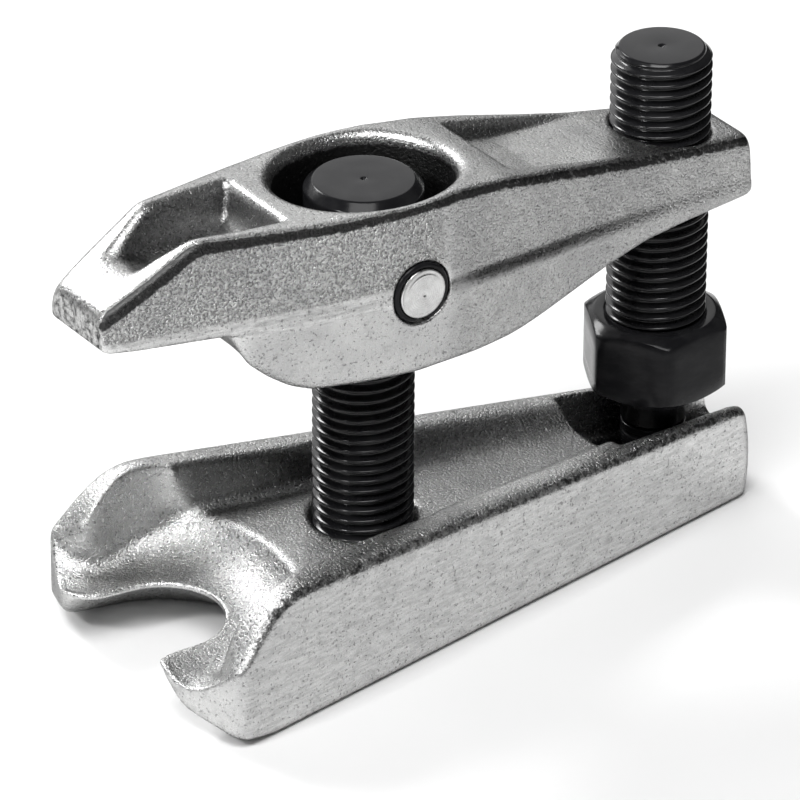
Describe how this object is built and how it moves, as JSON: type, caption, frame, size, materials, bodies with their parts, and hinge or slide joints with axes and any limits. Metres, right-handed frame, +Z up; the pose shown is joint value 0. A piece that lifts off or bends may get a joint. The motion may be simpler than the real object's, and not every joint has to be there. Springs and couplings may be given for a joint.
{
  "type": "ball joint separator",
  "caption": "Forged lever-type ball joint separator: fork body, pressing lever on a headed height screw, and a hexagon forcing screw.",
  "frame": {"origin": "centre of the bounding box, on the base plane the fork body stands on", "axes": "+X from the fork to the forcing screw, +Y across the tool, +Z up along both screws"},
  "size_m": [0.1385, 0.0618, 0.0919],
  "materials": {
    "plated_forging": "plated forging skin, fine grain with pits and brushed edges",
    "black_oxide_steel": "black oxide, semi-gloss, lightly oiled",
    "bright_steel": "turned bright steel"
  },
  "bodies": {
    "fork": {"lower_body": "plated_forging"},
    "height_screw": {"height_screw": "black_oxide_steel"},
    "lever": {"upper_lever": "plated_forging", "pivot_pin": "bright_steel", "pin_ring_near": "black_oxide_steel", "pin_ring_far": "black_oxide_steel"},
    "thrust_cap": {"thrust_cap": "black_oxide_steel"},
    "forcing_screw": {"forcing_screw": "black_oxide_steel"}
  },
  "joints": [
    {"name": "height_adjust", "type": "slide", "parent": "fork", "child": "height_screw", "axis": [0, 0, 1], "range_m": [0, 0.008]},
    {"name": "lever_tilt", "type": "hinge", "parent": "height_screw", "child": "lever", "pos_m": [-0.0106, 0, 0.0695], "axis": [0, -1, 0], "range_deg": [-9.1, 9.1]},
    {"name": "forcing_travel", "type": "slide", "parent": "lever", "child": "thrust_cap", "axis": [0, 0, -1], "range_m": [-0.01, 0.01]},
    {"name": "forcing_turn", "type": "hinge", "parent": "thrust_cap", "child": "forcing_screw", "pos_m": [0.0526, 0, 0.0175], "axis": [0, 0, -1], "range_deg": [-1800, 1800]}
  ],
  "couplings": [
    {"joint": "forcing_turn", "follows": "forcing_travel", "rad_per_m": 3141.6},
    {"joint": "lever_tilt", "follows": "forcing_travel", "rad_per_m": 15.823}
  ]
}
